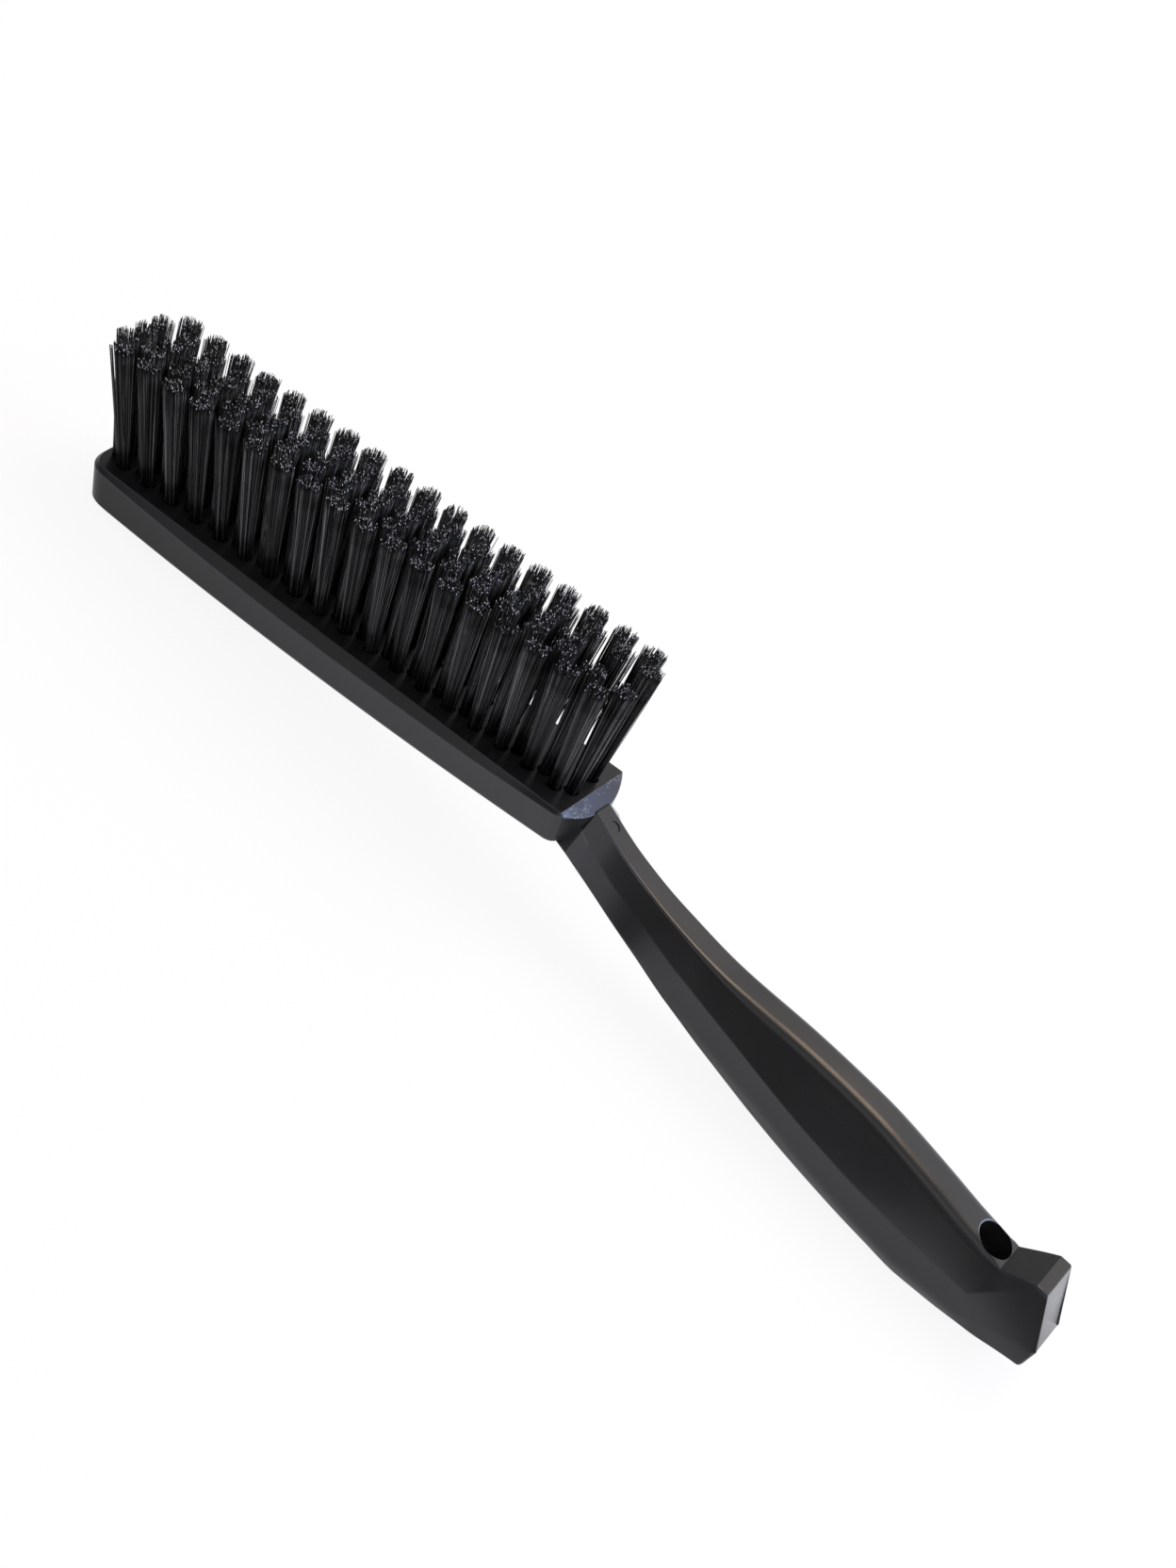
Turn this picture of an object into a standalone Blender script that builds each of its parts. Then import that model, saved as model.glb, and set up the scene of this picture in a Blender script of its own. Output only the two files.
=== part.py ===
# Upholstery brush: a long bristle block and a cranked, faceted handle moulded in one,
# with five staggered rows of splayed tufts set in the block's face.
#
# The brush is drawn in its block's own directions: X along the block towards the handle,
# Y across it, Z out of the face that carries the tufts, with the origin on that face at
# the middle of the tuft field. The whole brush is then laid on its back, as it rests on a
# table: on the far bottom edge of the block and on the underside of the grip.

import math

import bmesh
import bpy
import numpy as np
from mathutils import Matrix, Vector

mm = 0.001

# Tuft field: two outer rows, two inner rows and a middle row, splayed at the tips.
outer_count = 18
inner_count = 19
middle_count = 17
outer_pitch = 7.4 * mm
inner_pitch = 7.35 * mm
middle_pitch = 7.25 * mm
outer_row_offset = 6.0 * mm
inner_row_offset = 3.8 * mm
middle_row_lag = 0.15 * mm
tuft_height = 30.6 * mm
tip_pitch_share = 1.058
outer_tip_offset = 11.5 * mm
inner_tip_offset = 5.7 * mm
tip_lead = 1.5 * mm
hole_radius = 1.5 * mm
hole_depth = 2.6 * mm
hole_sides = 7

# Strands: a ring of them in each tuft, rising from the floor of its hole.
tuft_strand_count = 4
strand_sides = 3
strand_radius = 0.42 * mm
root_ring_radius = 0.75 * mm
tip_ring_radius = 2.05 * mm
strand_sink = 0.4 * mm
tip_ragged = 0.6 * mm
twist_share = 0.3

# Slices of the face that carry the tufts, seated in a pocket of the block.
slice_floor = 0.9 * mm
seat_gap = 0.3 * mm
slice_wall = 0.75 * mm
end_slice_wall = 0.5 * mm
seam_half_height = 1.7 * mm

slice_depth = hole_depth + slice_floor
field_reach = inner_pitch * (inner_count - 1) / 2
field_half_width = outer_row_offset + hole_radius + slice_wall

# Block: a bar with bowed sides and ends, seen from above, that reaches past the field.
far_margin = 4.2 * mm
near_margin = 7.05 * mm
far_side_margin = 3.25 * mm
near_side_margin = 4.35 * mm
side_bow = 2.3 * mm
far_bow = 2.0 * mm
near_bow = 3.9 * mm
block_far_corner_reach = 5.2 * mm
block_near_corner_reach = 1.2 * mm
block_far_depth = 9.5 * mm
block_near_depth = 8.7 * mm
foot_bevel = 0.9 * mm
foot_far_draft = 1.6 * mm

far_reach = field_reach + far_margin
near_reach = field_reach + near_margin
far_half_width = field_half_width + far_side_margin
near_half_width = field_half_width + near_side_margin

# The face is straight along its sides and its handle end; slopes fall from it to the walls.
far_slope_run = 0.9 * mm
near_slope_run = 3.9 * mm
far_side_slope_run = 0.6 * mm
near_side_slope_run = 0.3 * mm
face_far_bow = 1.9 * mm
face_far_corner_reach = 4.9 * mm
face_near_corner_reach = 0.4 * mm
lip_drop = 0.9 * mm
lip_slope = 0.34

face_far_reach = far_reach - far_slope_run
face_near_reach = near_reach - near_slope_run
face_far_half_width = far_half_width - far_side_slope_run
face_near_half_width = near_half_width - near_side_slope_run

# Handle: from the block's end to the end of the heel, drawn as four lines in side view.
handle_lap = 0.1 * mm
handle_root_length = 7.1 * mm
handle_root_inset = 1.5 * mm
handle_length = 137.3 * mm
crank_drop = 52.3 * mm
grip_half_width = 8.5 * mm
ridge_half_width = 5.3 * mm
heel_end_inset = 0.6 * mm
heel_face_lean = 0.32
heel_foot_lean = 0.22
heel_knee_drop = 13.9 * mm
heel_station_shares = (0.807, 0.834, 0.86, 0.874, 0.887, 0.906, 0.926, 0.943, 0.946)
neck_corner_round = 0.35 * mm
grip_corner_round = 1.5 * mm
underside_bevel = 1.5 * mm
station_step = 4.6 * mm

handle_start = near_reach - handle_lap
handle_root = handle_start - handle_root_length
handle_end = handle_start + handle_length

# Each line's points: share of the way from handle_start to the heel's end,
# then share of crank_drop for heights and of the named half width for widths.
# A point given twice is a sharp bend.
top_line_shares = (
    (0.0, 0.033), (0.081, 0.141), (0.182, 0.234), (0.313, 0.31), (0.464, 0.348),
    (0.605, 0.405), (0.726, 0.49), (0.81, 0.559), (0.857, 0.596), (0.887, 0.628),
    (0.887, 0.628), (0.946, 0.559), (0.946, 0.559), (0.969, 0.566),
)
crease_line_shares = (
    (0.0, 0.097), (0.04, 0.187), (0.121, 0.277), (0.242, 0.405), (0.393, 0.505),
    (0.545, 0.627), (0.696, 0.736), (0.807, 0.793), (0.86, 0.81), (0.86, 0.81),
    (0.943, 0.569), (0.943, 0.569), (0.969, 0.581),
)
bottom_line_shares = (
    (0.0, 0.174), (0.04, 0.254), (0.121, 0.39), (0.242, 0.556), (0.393, 0.707),
    (0.545, 0.831), (0.696, 0.946), (0.767, 0.992), (0.817, 1.0), (0.878, 0.979),
    (0.944, 0.958), (0.969, 0.954),
)
ridge_width_shares = (
    (0.0, 0.49), (0.121, 0.57), (0.242, 0.7), (0.383, 0.79), (0.545, 0.84),
    (0.726, 0.95), (0.857, 0.99), (0.887, 0.93), (0.887, 0.93), (0.946, 1.18),
    (1.0, 1.18),
)
crease_width_shares = (
    (0.0, 0.78), (0.05, 0.67), (0.131, 0.635), (0.242, 0.69), (0.313, 0.8), (0.403, 0.935),
    (0.484, 0.98), (0.605, 0.94), (0.716, 0.82), (0.807, 0.741), (1.0, 0.741),
)
skirt_width_shares = (
    (0.0, 1.28), (0.045, 1.06), (0.101, 0.91), (0.182, 0.79), (0.252, 0.78), (0.333, 0.88),
    (0.434, 0.985), (0.504, 1.0), (0.605, 0.945), (0.716, 0.825), (0.807, 0.741), (1.0, 0.741),
)
softness_shares = (
    (0.0, 0.0), (0.222, 0.12), (0.424, 1.0), (0.807, 1.0), (0.908, 0.15), (1.0, 0.15),
)
border_height_shares = (
    (0.0, 0.04), (0.141, 0.05), (0.252, 0.34), (0.353, 0.35), (0.464, 0.44),
    (0.605, 0.355), (0.706, 0.32), (0.807, 0.335), (0.878, 0.265), (1.0, 0.265),
)

# Hanging hole, square to the grip's upper surface.
hang_hole_inset = 19.7 * mm
hang_hole_radius = 4.4 * mm
hang_hole_lean = 0.30
hang_hole_sides = 20
hang_hole_place = handle_end - hang_hole_inset

cut_overrun = 2.0 * mm
smooth_angle = math.radians(28)


# Outlines

def arc(start, end, bow, steps, first_cut, last_cut):
    # Points along an arc that bulges to the right by bow, with its two ends cut back.
    chord = end - start
    way = chord.normalized()
    if bow == 0:
        first, last = start + way * first_cut, end - way * last_cut
        return [first.lerp(last, i / steps) for i in range(steps + 1)]
    half = chord.length / 2
    radius = (half * half + bow * bow) / (2 * bow)
    side = Vector((chord.y, -chord.x)).normalized()
    centre = (start + end) / 2 - side * (radius - bow)
    swing = math.asin(min(1.0, half / radius))
    first, last = first_cut / radius - swing, swing - last_cut / radius
    points = []
    for i in range(steps + 1):
        angle = first + (last - first) * i / steps
        points.append(centre + (side * math.cos(angle) + way * math.sin(angle)) * radius)
    return points


def bend(first, corner, last, steps):
    # A curve from first to last that leaves and arrives in the corner's direction.
    return [first * (1 - t) ** 2 + corner * 2 * t * (1 - t) + last * t * t
            for t in (i / steps for i in range(steps + 1))]


def rounded_corner(before, corner, after, reach, steps):
    # A bend between the line from before and the line to after, within reach of the corner.
    to_before = before - corner
    to_after = after - corner
    return bend(corner + to_before * min(0.45, reach / to_before.length), corner,
                corner + to_after * min(0.45, reach / to_after.length), steps)


def bowed_outline(far, far_half, near, near_half, bows, corner_reaches):
    # A four-sided outline, counter-clockwise from its far left corner, with bowed sides.
    corners = [Vector((-far, far_half)), Vector((-far, -far_half)),
               Vector((near, -near_half)), Vector((near, near_half))]
    far_bulge, side_bulge, near_bulge = bows
    bulges = [far_bulge, side_bulge, near_bulge, side_bulge]
    far_cut, near_cut = corner_reaches
    cuts = [far_cut, far_cut, near_cut, near_cut]
    steps = [10, 18, 10, 18]
    runs = [arc(corners[i], corners[(i + 1) % 4], bulges[i], steps[i], cuts[i],
                cuts[(i + 1) % 4]) for i in range(4)]
    outline = []
    for i in range(4):
        outline += runs[i]
        outline += bend(runs[i][-1], corners[(i + 1) % 4], runs[(i + 1) % 4][0], 6)[1:-1]
    return outline


def curve_value(shares, place):
    # A smooth line through the shares' points, without overshoot and level past its ends.
    xs = [point[0] for point in shares]
    ys = [point[1] for point in shares]
    if place <= xs[0]:
        return ys[0]
    if place >= xs[-1]:
        return ys[-1]
    i = next(n for n in range(len(xs) - 1) if xs[n + 1] >= place)

    def slope(n):
        rises = [(ys[m + 1] - ys[m]) / (xs[m + 1] - xs[m]) for m in (n - 1, n)
                 if 0 <= m < len(xs) - 1 and xs[m + 1] > xs[m]]
        if len(rises) == 1:
            return rises[0]
        if rises[0] * rises[1] <= 0:
            return 0.0
        return 2 * rises[0] * rises[1] / (rises[0] + rises[1])

    run = xs[i + 1] - xs[i]
    t = (place - xs[i]) / run
    return (ys[i] * (2 * t ** 3 - 3 * t ** 2 + 1) + ys[i + 1] * (3 * t ** 2 - 2 * t ** 3)
            + run * (slope(i) * (t ** 3 - 2 * t ** 2 + t) + slope(i + 1) * (t ** 3 - t ** 2)))


# Meshes and objects

def make_material(name, colour, roughness, metallic=0.0):
    material = bpy.data.materials.new(name)
    material.use_nodes = True
    shader = material.node_tree.nodes["Principled BSDF"]
    shader.inputs["Base Color"].default_value = (*colour, 1.0)
    shader.inputs["Roughness"].default_value = roughness
    shader.inputs["Metallic"].default_value = metallic
    material.diffuse_color = (*colour, 1.0)
    return material


def make_object(name, bm, material=None, parent=None, guide=False):
    bmesh.ops.recalc_face_normals(bm, faces=bm.faces)
    mesh = bpy.data.meshes.new(name)
    bm.to_mesh(mesh)
    bm.free()
    obj = bpy.data.objects.new(name, mesh)
    bpy.context.scene.collection.objects.link(obj)
    if material:
        mesh.materials.append(material)
    obj.parent = parent
    if guide:
        obj.hide_render = True
        obj.display_type = 'WIRE'
    return obj


def add_boolean(obj, operation, other):
    modifier = obj.modifiers.new(operation.lower(), 'BOOLEAN')
    modifier.operation = operation
    modifier.object = other


def loft(bm, rings):
    # Skin closed rings that hold the same number of points, and cap both ends.
    rows = [[bm.verts.new(point) for point in ring] for ring in rings]
    count = len(rows[0])
    for lower, upper in zip(rows, rows[1:]):
        for i in range(count):
            j = (i + 1) % count
            bm.faces.new((lower[i], lower[j], upper[j], upper[i]))
    bm.faces.new(list(reversed(rows[0])))
    bm.faces.new(rows[-1])


def flat_ring(outline, height):
    return [Vector((point.x, point.y, height)) for point in outline]


# Body

def block_mesh():
    bm = bmesh.new()
    bows = (far_bow, side_bow, near_bow)
    reaches = (block_far_corner_reach, block_near_corner_reach)
    wall = bowed_outline(far_reach - far_bow, far_half_width, near_reach - near_bow,
                         near_half_width, bows, reaches)
    face = bowed_outline(face_far_reach - face_far_bow, face_far_half_width, face_near_reach,
                         face_near_half_width, (face_far_bow, 0, 0),
                         (face_far_corner_reach, face_near_corner_reach))
    skirting = bowed_outline(far_reach - far_bow - foot_far_draft, far_half_width,
                             near_reach - near_bow, near_half_width, bows, reaches)
    foot = bowed_outline(far_reach - far_bow - foot_far_draft - foot_bevel,
                         far_half_width - foot_bevel, near_reach - near_bow - foot_bevel,
                         near_half_width - foot_bevel, bows, reaches)
    shoulder = [Vector((w.x, w.y, -lip_drop - lip_slope * (w - f).length))
                for w, f in zip(wall, face)]
    loft(bm, [back_ring(foot, 0), back_ring(skirting, foot_bevel), shoulder,
              flat_ring(face, 0)])
    return bm


def back_ring(outline, rise):
    # A ring that lies rise above the block's back, which slants from end to end.
    slant = (block_near_depth - block_far_depth) / (near_reach + far_reach)
    return [Vector((point.x, point.y, rise - block_far_depth - slant * (point.x + far_reach)))
            for point in outline]


def handle_section(place, slant, inset):
    # One rounded ring of the handle, slanted by a share of the heel's end face.
    run = (place - handle_start) / (handle_end - handle_start)
    share = min(1.0, max(0.0, run))
    top = -crank_drop * curve_value(top_line_shares, share) - inset
    crease = -crank_drop * curve_value(crease_line_shares, share)
    bottom = -crank_drop * curve_value(bottom_line_shares, share) + inset
    ridge = ridge_half_width * curve_value(ridge_width_shares, share) - inset
    waist = grip_half_width * curve_value(crease_width_shares, share) - inset
    skirt = grip_half_width * curve_value(skirt_width_shares, share) - inset
    softness = curve_value(softness_shares, share)
    reach = neck_corner_round + (grip_corner_round - neck_corner_round) * softness
    border = bottom + (crease - bottom) * curve_value(border_height_shares, share)
    belly = skirt - underside_bevel * softness
    corners = [Vector((ridge, top)), Vector((waist, crease)), Vector((skirt, border)),
               Vector((belly, bottom))]
    corners += [Vector((-corner.x, corner.y)) for corner in reversed(corners)]
    reaches = [reach, neck_corner_round, reach, reach]
    reaches += list(reversed(reaches))
    ring = []
    for i, corner in enumerate(corners):
        rounded = rounded_corner(corners[i - 1], corner, corners[(i + 1) % len(corners)],
                                 reaches[i], 3)
        ring += [Vector((place + slant * heel_lean(top - point.y), point.x, point.y))
                 for point in rounded]
    return ring


def heel_lean(drop):
    # The end face reaches out down to its knee, and draws back below it.
    return (heel_face_lean * min(drop, heel_knee_drop)
            - heel_foot_lean * max(0, drop - heel_knee_drop))


def handle_mesh():
    # Upright rings along the neck and the grip, slanting ones through the heel.
    bm = bmesh.new()
    last_place = handle_end - heel_lean(heel_knee_drop)
    heel_places = [handle_start + (handle_end - handle_start) * share
                   for share in heel_station_shares]
    count = max(8, round((heel_places[0] - handle_start) / station_step))
    rings = [handle_section(handle_root, 0, handle_root_inset)]
    for i in range(count):
        place = handle_start + (heel_places[0] - handle_start) * i / count
        rings.append(handle_section(place, 0, 0))
    for place in heel_places + [last_place - heel_end_inset]:
        slant = (place - heel_places[0]) / (last_place - heel_places[0])
        rings.append(handle_section(place, slant, 0))
    rings.append(handle_section(last_place, 1, heel_end_inset))
    loft(bm, rings)
    return bm


def pocket_outline(gap):
    # The face's recess: the field of slices, grown by gap, with its narrower far end.
    far_cut = tuft_x('inner', 0) - hole_radius - end_slice_wall - gap
    corner_cut = end_corner_cut()
    step_cut = seam_mid(0) - seam_half_run() - gap
    near_cut = tuft_x('inner', inner_count - 1) + hole_radius + end_slice_wall + gap
    narrow = inner_row_offset + hole_radius + end_slice_wall + gap
    wide = field_half_width + gap
    half = [(far_cut, narrow - corner_cut), (far_cut + corner_cut, narrow),
            (step_cut, narrow), (step_cut, wide), (near_cut, wide)]
    return [Vector((x, -y)) for x, y in half] + [Vector(point) for point in reversed(half)]


def prism(outline, low, high):
    bm = bmesh.new()
    loft(bm, [flat_ring(outline, low), flat_ring(outline, high)])
    return bm


def make_body(root, material):
    body = make_object("brush_body", block_mesh(), material, root)
    handle = make_object("handle_form", handle_mesh(), None, root, guide=True)
    pocket = make_object("pocket_form", prism(pocket_outline(seat_gap), -slice_depth - seat_gap,
                                              cut_overrun), None, root, guide=True)
    share = (hang_hole_place - handle_start) / (handle_end - handle_start)
    mouth = Vector((hang_hole_place, 0, -crank_drop * curve_value(top_line_shares, share)))
    way = Vector((hang_hole_lean, 0, 1)).normalized()
    bm = bmesh.new()
    turn = way.to_track_quat('Z', 'Y').to_matrix().to_4x4()
    bmesh.ops.create_cone(bm, cap_ends=True, segments=hang_hole_sides, radius1=hang_hole_radius,
                          radius2=hang_hole_radius, depth=2 * crank_drop,
                          matrix=Matrix.Translation(mouth) @ turn)
    hole = make_object("hang_hole_form", bm, None, root, guide=True)
    add_boolean(body, 'UNION', handle)
    add_boolean(body, 'DIFFERENCE', pocket)
    add_boolean(body, 'DIFFERENCE', hole)
    return body


# Tufts

def tuft_x(row, index):
    if row == 'outer':
        return outer_pitch * (index - (outer_count - 1) / 2)
    if row == 'inner':
        return inner_pitch * (index - (inner_count - 1) / 2)
    return middle_pitch * index - field_reach + middle_row_lag


def tuft_ends(row, side, index):
    # The middle of the tuft's root on the face, and the middle of its tip.
    x = tuft_x(row, index)
    offsets = {'outer': (outer_row_offset, outer_tip_offset),
               'inner': (inner_row_offset, inner_tip_offset), 'middle': (0, 0)}
    root_offset, tip_offset = offsets[row]
    return (Vector((x, side * root_offset, 0)),
            Vector((x * tip_pitch_share - tip_lead, side * tip_offset, tuft_height)))


def seam_half_run():
    # How far a seam slants on its way between an outer and an inner hole.
    return seam_half_height * (outer_row_offset - inner_row_offset) / (outer_pitch / 2)


def seam_mid(column):
    # Where the seam past a column crosses the middle of the strip between the two rows.
    return (tuft_x('inner', column) + tuft_x('outer', column)) / 2


def seam_line(column, shift):
    # The seam past a column, from -Y to +Y, moved along X by shift.
    middle = (outer_row_offset + inner_row_offset) / 2
    wide = field_half_width
    mid = seam_mid(column) + shift
    run = seam_half_run()
    half = [(mid - run, wide), (mid - run, middle + seam_half_height),
            (mid + run, middle - seam_half_height)]
    return [(x, -y) for x, y in half] + [(x, y) for x, y in reversed(half)]


def end_corner_cut():
    # The far slice's corners are cut back to the same wall as beside its holes.
    return (2 - math.sqrt(2)) * (hole_radius + end_slice_wall)


def slice_outline(column):
    narrow = inner_row_offset + hole_radius + end_slice_wall
    wide = field_half_width
    half_gap = seat_gap / 2
    if column == 0:
        far_cut = tuft_x('inner', 0) - hole_radius - end_slice_wall
        seam = seam_line(0, -half_gap)
        step = seam[1][0]
        low = seam[1][1]
        slant = (narrow + low) / (seam[2][1] - low)
        notch = step + (seam[2][0] - step) * -slant
        cut = end_corner_cut()
        half = [(far_cut, narrow - cut), (far_cut + cut, narrow), (notch, narrow)]
        outline = [(x, -y) for x, y in half] + seam[2:4] + list(reversed(half))
        return [Vector(point) for point in outline]
    far_seam = seam_line(column - 1, half_gap)
    if column == inner_count - 1:
        near_cut = tuft_x('inner', column) + hole_radius + end_slice_wall
        near_seam = [(near_cut, -wide), (near_cut, wide)]
    else:
        near_seam = seam_line(column, -half_gap)
    return [Vector(point) for point in near_seam + list(reversed(far_seam))]


def column_tufts(column):
    # The tufts of one slice: its outer pair, its inner pair and its middle one.
    tufts = [('inner', side, column) for side in (-1, 1)]
    if column > 0:
        tufts += [('outer', side, column - 1) for side in (-1, 1)]
    if column < middle_count:
        tufts.append(('middle', 1, column))
    return tufts


def add_prism_along(bm, foot, tip, radius_foot, radius_tip, sides, twist):
    # A straight tapered bar from foot to tip, with closed ends.
    way = (tip - foot).normalized()
    side = way.cross(Vector((0, 1, 0))).normalized()
    other = way.cross(side)
    rings = []
    for centre, radius in ((foot, radius_foot), (tip, radius_tip)):
        angles = [twist + 2 * math.pi * i / sides for i in range(sides)]
        rings.append([centre + side * radius * math.cos(a) + other * radius * math.sin(a)
                      for a in angles])
    loft(bm, rings)


def make_column(column, root, material, rng):
    name = f"tuft_column_{column + 1:02d}"
    plate = prism(slice_outline(column), -slice_depth, 0)
    holes = bmesh.new()
    strands = bmesh.new()
    for row, side, index in column_tufts(column):
        base, tip = tuft_ends(row, side, index)
        slope = (tip - base) / tuft_height
        floor = base - slope * hole_depth
        mouth = base + slope * cut_overrun
        add_prism_along(holes, floor, mouth, hole_radius, hole_radius, hole_sides, 0)
        foot = floor - slope * strand_sink
        for strand in range(tuft_strand_count):
            angle = 2 * math.pi * (strand + rng.random() * twist_share) / tuft_strand_count
            around = Vector((math.cos(angle), math.sin(angle), 0))
            drop = slope * (tip_ragged * rng.random())
            add_prism_along(strands, foot + around * root_ring_radius,
                            tip + around * tip_ring_radius - drop,
                            strand_radius, strand_radius, strand_sides, angle)
    obj = make_object(name, plate, material, root)
    hole_guide = make_object(name + "_hole_forms", holes, None, root, guide=True)
    strand_guide = make_object(name + "_strand_forms", strands, None, root, guide=True)
    add_boolean(obj, 'DIFFERENCE', hole_guide)
    add_boolean(obj, 'UNION', strand_guide)
    return obj


# Laying the brush on its back

def world_points(objects):
    graph = bpy.context.evaluated_depsgraph_get()
    points = []
    for obj in objects:
        evaluated = obj.evaluated_get(graph)
        mesh = evaluated.to_mesh()
        points += [obj.matrix_world @ vert.co for vert in mesh.vertices]
        evaluated.to_mesh_clear()
    return points


def rest_on_back(root, body, objects):
    # Tilt the block until its far bottom edge and the grip's underside lie level,
    # then put the middle of the brush's box over the origin, on the table.
    bpy.context.view_layer.update()
    points = world_points([body])
    tilt = 0.0
    for _ in range(4):
        up = Vector((math.sin(tilt), 0, math.cos(tilt)))
        edge = min((point for point in points if point.x < 0), key=up.dot)
        tilt = max(math.atan2(edge.z - point.z, point.x - edge.x) for point in points
                   if point.x > handle_start)
    root.rotation_euler = (0, -tilt, 0)
    bpy.context.view_layer.update()
    points = world_points(objects)
    lows = [min(point[axis] for point in points) for axis in range(3)]
    highs = [max(point[axis] for point in points) for axis in range(3)]
    root.location = (-(lows[0] + highs[0]) / 2, -(lows[1] + highs[1]) / 2, -lows[2])
    bpy.context.view_layer.update()
    print("tilt in degrees", round(math.degrees(tilt), 3))
    print("place of the face's middle", [round(value, 5) for value in root.location])


def main():
    for obj in list(bpy.data.objects):
        bpy.data.objects.remove(obj)
    body_plastic = make_material("black_moulded_plastic", (0.042, 0.042, 0.045), 0.42)
    bristle_nylon = make_material("black_bristle", (0.032, 0.032, 0.036), 0.5)
    root = bpy.data.objects.new("brush_frame", None)
    bpy.context.scene.collection.objects.link(root)
    rng = np.random.default_rng(7)
    body = make_body(root, body_plastic)
    objects = [body]
    for column in range(inner_count):
        objects.append(make_column(column, root, bristle_nylon, rng))
    body.data.shade_smooth()
    body.data.set_sharp_from_angle(angle=smooth_angle)
    rest_on_back(root, body, objects)


main()
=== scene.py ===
import math

import bmesh
import bpy
import numpy as np
from mathutils import Euler, Matrix, Vector


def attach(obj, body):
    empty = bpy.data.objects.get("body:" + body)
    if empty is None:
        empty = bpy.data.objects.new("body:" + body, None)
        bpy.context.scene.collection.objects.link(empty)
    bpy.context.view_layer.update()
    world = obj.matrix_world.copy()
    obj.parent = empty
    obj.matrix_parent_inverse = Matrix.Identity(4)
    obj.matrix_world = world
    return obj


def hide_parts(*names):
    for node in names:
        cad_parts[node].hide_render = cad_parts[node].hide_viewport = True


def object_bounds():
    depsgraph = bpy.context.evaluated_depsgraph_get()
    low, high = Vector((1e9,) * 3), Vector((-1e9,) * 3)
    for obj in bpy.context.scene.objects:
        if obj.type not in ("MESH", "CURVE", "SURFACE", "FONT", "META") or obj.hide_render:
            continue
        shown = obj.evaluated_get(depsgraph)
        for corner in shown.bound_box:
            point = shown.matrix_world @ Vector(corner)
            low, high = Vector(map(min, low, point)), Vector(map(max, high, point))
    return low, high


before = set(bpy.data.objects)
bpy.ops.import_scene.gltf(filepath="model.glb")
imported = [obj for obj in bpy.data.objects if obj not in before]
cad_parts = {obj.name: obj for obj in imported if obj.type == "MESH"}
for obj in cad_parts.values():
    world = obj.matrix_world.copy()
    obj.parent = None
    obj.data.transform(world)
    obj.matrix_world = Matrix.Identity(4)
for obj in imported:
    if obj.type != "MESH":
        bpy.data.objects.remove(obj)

mm = 0.001
cadBox = [list(corner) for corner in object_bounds()]
scene = bpy.context.scene


# The block's own directions: X towards the handle, Z out of the face, origin on the face.
layOnBack = {"tilt": 9.757, "place": (-68.52 * mm, 0.0, 20.85 * mm)}
toRow = (Matrix.Translation(layOnBack["place"])
         @ Matrix.Rotation(math.radians(-layOnBack["tilt"]), 4, 'Y'))


# Camera

cameraView = {"place": (0.09712, -0.42837, 0.38048), "turn": (45.655, -27.5562, 37.3763),
              "lens": 60.577, "sensor": 36.0}


def setCamera():
    data = bpy.data.cameras.new("photoCamera")
    data.sensor_fit = 'AUTO'
    data.sensor_width = cameraView["sensor"]
    data.lens = cameraView["lens"]
    data.clip_start = 0.01
    data.clip_end = 50
    camera = bpy.data.objects.new("photoCamera", data)
    camera.location = cameraView["place"]
    camera.rotation_euler = Euler([math.radians(a) for a in cameraView["turn"]])
    scene.collection.objects.link(camera)
    scene.camera = camera


setCamera()
print("camera set")


# Node groups and small node helpers

def addNode(tree, kind, **settings):
    node = tree.nodes.new(kind)
    for key, value in settings.items():
        if key in node.inputs:
            node.inputs[key].default_value = value
        else:
            setattr(node, key, value)
    return node


def newGroup(name, inputs, outputs):
    group = bpy.data.node_groups.new(name, 'ShaderNodeTree')
    for label, kind, value in inputs:
        socket = group.interface.new_socket(label, in_out='INPUT', socket_type=kind)
        if value is not None:
            socket.default_value = value
    for label, kind in outputs:
        group.interface.new_socket(label, in_out='OUTPUT', socket_type=kind)
    return group, group.nodes.new('NodeGroupInput'), group.nodes.new('NodeGroupOutput')


def placeGroup(tree, group, **values):
    node = tree.nodes.new('ShaderNodeGroup')
    node.node_tree = group
    for key, value in values.items():
        node.inputs[key].default_value = value
    return node


def mathNode(tree, operation, first, second, clamp=False):
    node = tree.nodes.new('ShaderNodeMath')
    node.operation = operation
    node.use_clamp = clamp
    for slot, value in enumerate((first, second)):
        if isinstance(value, bpy.types.NodeSocket):
            tree.links.new(value, node.inputs[slot])
        elif value is not None:
            node.inputs[slot].default_value = value
    return node.outputs[0]


def blendColour(tree, factor, first, second):
    node = tree.nodes.new('ShaderNodeMix')
    node.data_type = 'RGBA'
    for slot, value in ((0, factor), (6, first), (7, second)):
        if isinstance(value, bpy.types.NodeSocket):
            tree.links.new(value, node.inputs[slot])
        elif slot:
            node.inputs[slot].default_value = (*value, 1)
        else:
            node.inputs[slot].default_value = value
    return node.outputs[2]


def remap(tree, value, low, high, newLow=0.0, newHigh=1.0):
    node = tree.nodes.new('ShaderNodeMapRange')
    tree.links.new(value, node.inputs[0])
    for slot, number in enumerate((low, high, newLow, newHigh)):
        node.inputs[slot + 1].default_value = number
    return node.outputs[0]


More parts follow.
